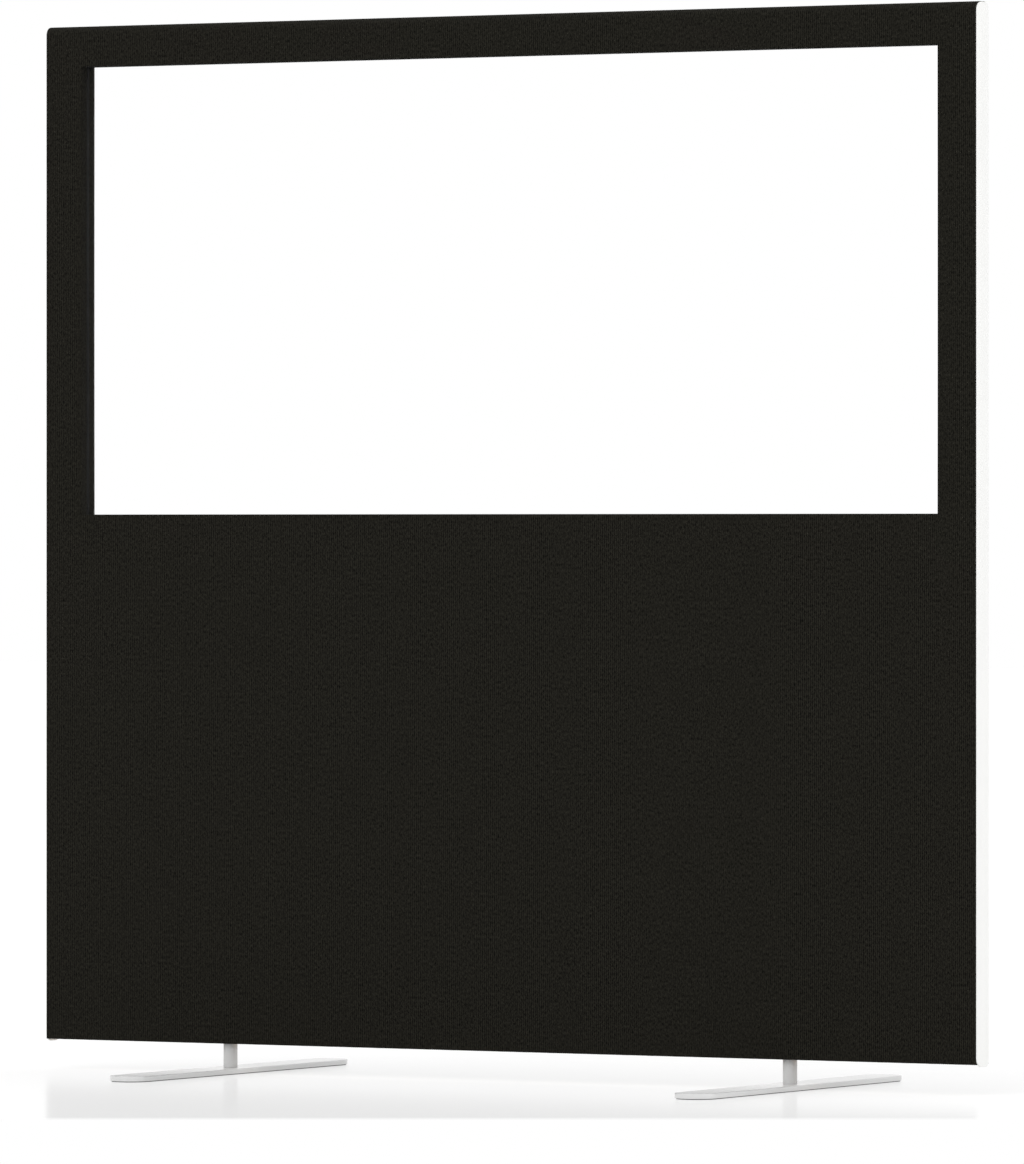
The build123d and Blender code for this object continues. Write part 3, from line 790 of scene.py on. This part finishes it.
def end_trim(name, node, side):
    """The flange's outline is a rectangle with round corners in side view. Its height out from the panel
    is an arc of a circle across the depth, 0.8 mm at the edges and 3 mm at the middle. Rings of the
    outline, each further in, go up the wall, round the eased edge and over the dome to a grid on the
    middle. The web behind it is a barbed section carried upright."""
    half_depth, half_height = trim_high.y, (trim_high.z - trim_low.z) / 2
    middle_z, corner = (trim_high.z + trim_low.z) / 2, 12 * MM
    crown, edge, ease = 3.0 * MM, 0.8 * MM, 0.35 * MM
    radius = (half_depth ** 2 + (crown - edge) ** 2) / (2 * (crown - edge))

    def height(y):
        return crown - radius + np.sqrt(radius ** 2 - y ** 2)

    arc_steps, depth_steps, height_steps = 14, 8, 30
    steps = (arc_steps, depth_steps, height_steps)
    insets = [(0.0, None), (0.0, ease)]
    insets += [(ease * (1 - math.cos(a)), ease * (1 - math.sin(a))) for a in np.radians((25, 50, 75, 90))]
    insets += [(d * MM, 0.0) for d in (1.0, 2.5, 4.5, 7.0, 9.5, 12.0)]
    rings = []
    for inset, below in insets:
        outline = rounded_outline(half_depth, half_height, corner, inset, *steps)
        out = np.zeros(len(outline)) if below is None else height(outline[:, 0]) - below
        rings.append(np.column_stack([out, outline]))
    count = len(rings[0])
    inner_y = np.linspace(-1, 1, depth_steps + 1) * (half_depth - corner)
    inner_z = np.linspace(-1, 1, height_steps + 1) * (half_height - corner)
    grid_y, grid_z = (g.ravel() for g in np.meshgrid(inner_y, inner_z))
    dome = np.column_stack([height(grid_y), grid_y, grid_z])
    back = np.column_stack([np.zeros(len(grid_y)), grid_y, grid_z])
    flat_rings = [
        np.column_stack([np.zeros(count), rounded_outline(half_depth, half_height, corner, inset, *steps)])
        for inset in (corner, 0.0)
    ]
    points = np.concatenate([back, *flat_rings, *rings[1:], dome])
    grid_count = len(dome)
    cells = grid_quads(len(inner_z), len(inner_y))
    shell = grid_quads(len(rings) + 1, count, ring=True) + grid_count
    flange = [cells[:, ::-1], shell, cells + grid_count + count * (len(rings) + 1)]

    half_web, barb, depth = 1.0 * MM, 0.4 * MM, 11.0 * MM
    barb_count, first_barb, barb_pitch, barb_length = 3, 1.2 * MM, 2.4 * MM, 1.2 * MM
    low_room, high_room = 0.3 * MM, 16.3 * MM
    upper = [(-depth, half_web)]
    for number in range(barb_count):
        root = -depth + number * barb_pitch + first_barb
        upper += [(root, half_web), (root + barb_length, half_web + barb), (root + barb_length, half_web)]
    upper.append((0.0, half_web))
    profile = np.array([(x, -y) for x, y in upper[::-1]] + upper)
    ends = np.array([TIMBER_UNDERSIDE + low_room, PANEL_TOP - high_room]) - middle_z
    web = np.column_stack([np.tile(profile, (2, 1)), np.repeat(ends, len(profile))])
    start = len(points)
    sides = grid_quads(2, len(profile), ring=True) + start
    half = len(profile) // 2
    low_cap = np.column_stack([np.arange(half - 1), np.arange(1, half), 2 * half - 1 - np.arange(1, half),
                               2 * half - 1 - np.arange(half - 1)]) + start
    high_cap = low_cap[:, ::-1] + len(profile)
    points = np.concatenate([points, web])
    groups = [*flange, np.concatenate([sides, low_cap[:, ::-1], high_cap[:, ::-1]])]
    points = np.column_stack([side * (HALF_WIDTH + points[:, 0]), points[:, 1], middle_z + points[:, 2]])
    made = piece(name, points, groups, sharp=35.0)
    made.data.materials.append(trim_coat)
    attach(made, "root")
    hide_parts(node)


# ---------------------------------------------------------------- feet


def stadium(half_wide, half_long, inset):
    """The plan of a foot: a long bar with full-round ends, set in by an inset."""
    return rounded_outline(half_wide, half_long, half_wide, inset, arc_steps=24, a_steps=0, b_steps=16)


def round_hole(radius, count, straight_steps=16):
    """As many points on a circle as a foot's plan has, level with it at the middle of each side."""
    angle = 2 * math.pi * (np.arange(count) + straight_steps / 2) / count
    return radius * np.column_stack([np.cos(angle), np.sin(angle)])


def stacked(name, middle_x, rings):
    """Rings of equal length, each a plan at a level, joined in a closed tube of rings."""
    points = np.concatenate([np.column_stack([plan[:, 0] + middle_x, plan[:, 1], np.full(len(plan), level)])
                             for plan, level in rings])
    return piece(name, points, [grid_quads(len(rings), len(rings[0][0]), ring=True, tube=True)], sharp=35.0)


def foot_plate(name, node):
    """Level rings: from the screw hole out over the top, round the eased upper edge, down the wall, round
    the small lower edge, in under the plate to the countersink and up its cone to the hole."""
    low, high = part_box(node)
    half_wide, half_long, middle = (high.x - low.x) / 2, high.y, (high.x + low.x) / 2
    count = len(stadium(half_wide, half_long, 0.0))
    ease, foot_ease, margin = 0.9 * MM, 0.3 * MM, 4 * MM
    hole_radius, near_radius, sink_radius, sink_depth = 4.25 * MM, 13 * MM, 8.25 * MM, 4 * MM
    hole = round_hole(hole_radius, count)
    rings = [(hole, high.z), (round_hole(near_radius, count), high.z),
             (stadium(half_wide, half_long, margin), high.z)]
    for angle in np.radians(np.linspace(90, 0, 7)):
        rings.append((stadium(half_wide, half_long, ease * (1 - math.cos(angle))),
                      high.z - ease * (1 - math.sin(angle))))
    for angle in np.radians((0, 30, 60, 90)):
        rings.append((stadium(half_wide, half_long, foot_ease * (1 - math.cos(angle))),
                      low.z + foot_ease * (1 - math.sin(angle))))
    rings += [(round_hole(sink_radius, count), low.z), (hole, low.z + sink_depth)]
    made = stacked(name, middle, rings)
    made.data.materials.append(foot_coat)
    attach(made, "root")
    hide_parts(node)


def foot_pad(name, node):
    """Level rings round a flat rubber pad with a hole: over the top, down its eased wall and back under."""
    low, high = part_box(node)
    half_wide, half_long, middle = (high.x - low.x) / 2, high.y, (high.x + low.x) / 2
    ease, key_radius = 0.2 * MM, 11 * MM
    hole = round_hole(key_radius, len(stadium(half_wide, half_long, 0.0)))
    rings = [(hole, high.z), (stadium(half_wide, half_long, ease), high.z)]
    for angle in np.radians((30, 60, 90)):
        rings.append((stadium(half_wide, half_long, ease * (1 - math.sin(angle))),
                      high.z - ease * (1 - math.cos(angle))))
    for angle in np.radians((0, 30, 60, 90)):
        rings.append((stadium(half_wide, half_long, ease * (1 - math.cos(angle))),
                      low.z + ease * (1 - math.sin(angle))))
    rings.append((hole, low.z))
    made = stacked(name, middle, rings)
    made.data.materials.append(pad_rubber)
    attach(made, "root")
    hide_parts(node)


def post(name, node):
    """A turned post: its profile of radius against height goes round the axis, from the lower bore's end,
    down the bore, out and up the outside with eased edges, and down the upper bore."""
    low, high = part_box(node)
    radius, middle = (high.x - low.x) / 2, (high.x + low.x) / 2
    screw_bore, stud_bore, web, ease, steps = 4.1 * MM, 5.1 * MM, 1.5 * MM, 0.5 * MM, 96
    centre = (low.z + high.z) / 2
    shares = [(1 - math.sin(a), 1 - math.cos(a)) for a in np.radians((0, 30, 60, 90))]
    profile = [(0.0, centre - web), (screw_bore, centre - web), (screw_bore, low.z)]
    profile += [(radius - ease * s, low.z + ease * c) for s, c in shares]
    profile += [(radius - ease * c, high.z - ease * s) for s, c in shares]
    profile += [(stud_bore, high.z), (stud_bore, centre + web), (0.0, centre + web)]
    angle = 2 * math.pi * np.arange(steps) / steps
    rings = [np.column_stack([middle + r * np.cos(angle), r * np.sin(angle), np.full(steps, z)])
             for r, z in profile]
    made = piece(name, np.concatenate(rings), [grid_quads(len(profile), steps, ring=True)], sharp=35.0)
    # The post takes the darker coat, which is painted shade for the shade under the panel.
    made.data.materials.append(post_coat_painted_shade)
    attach(made, "root")
    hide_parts(node)


trim_coat = pale_powder("trim_coat", (0.9, 0.9, 0.885), peel=0.8, roughness=0.34,
                        coat=0.3, coat_roughness=0.2)
foot_coat = pale_powder("foot_coat", (0.735, 0.735, 0.732), peel=1.4, roughness=0.38,
                        coat=0.9, coat_roughness=0.17)
# The posts get the feet's powder painted darker: a painted shade standing in for the shade under the panel
# above them.
post_coat_painted_shade = pale_powder("post_coat_painted_shade", (0.62, 0.62, 0.618), peel=1.4, roughness=0.42,
                        coat=0.6, coat_roughness=0.22)
pad_rubber = moulded_rubber("pad_rubber_finish", (0.05, 0.05, 0.05), size=2600.0, roughness=0.78)
seal_rubber = moulded_rubber("gasket_rubber_finish", (0.0085, 0.0083, 0.0075), size=3400.0, roughness=0.8)
zinc = zinc_plate()
underside_staples()
for side_name, side in (("left", -1), ("right", 1)):
    end_trim(f"{side_name}_end_profile", f"{side_name}_end_trim", side)
    foot_plate(f"{side_name}_foot_bar", f"{side_name}_foot_plate")
    foot_pad(f"{side_name}_foot_underlay", f"{side_name}_foot_pad")
    post(f"{side_name}_turned_post", f"{side_name}_post")

# ---------------------------------------------------------------- finishes of the carried-over nodes


def coat_node(node, paint):
    """Gives a carried-over node one finish."""
    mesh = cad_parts[node].data
    mesh.materials.clear()
    mesh.materials.append(paint)


level_timber = planed_timber("timber_level", (0.0, 0.0, 0.0))
upright_timber = planed_timber("timber_upright", (0.0, math.pi / 2, 0.0))
for node in ("top_rail", "bottom_rail", "window_rail"):
    coat_node(node, level_timber)
for node in ("left_stile", "right_stile", "left_upright", "right_upright", "frame_tenons"):
    coat_node(node, upright_timber)
batting = fibre_batt()
for node in ("left_batt", "centre_batt", "right_batt"):
    coat_node(node, batting)
coat_node("window_pane", clear_sheet())
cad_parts["window_pane"].visible_shadow = False
for node in ("head_gasket", "sill_gasket", "left_gasket", "right_gasket"):
    coat_node(node, seal_rubber)
for side_name in ("left", "right"):
    for part in ("foot_screw", "foot_stud", "insert"):
        coat_node(f"{side_name}_{part}", zinc)
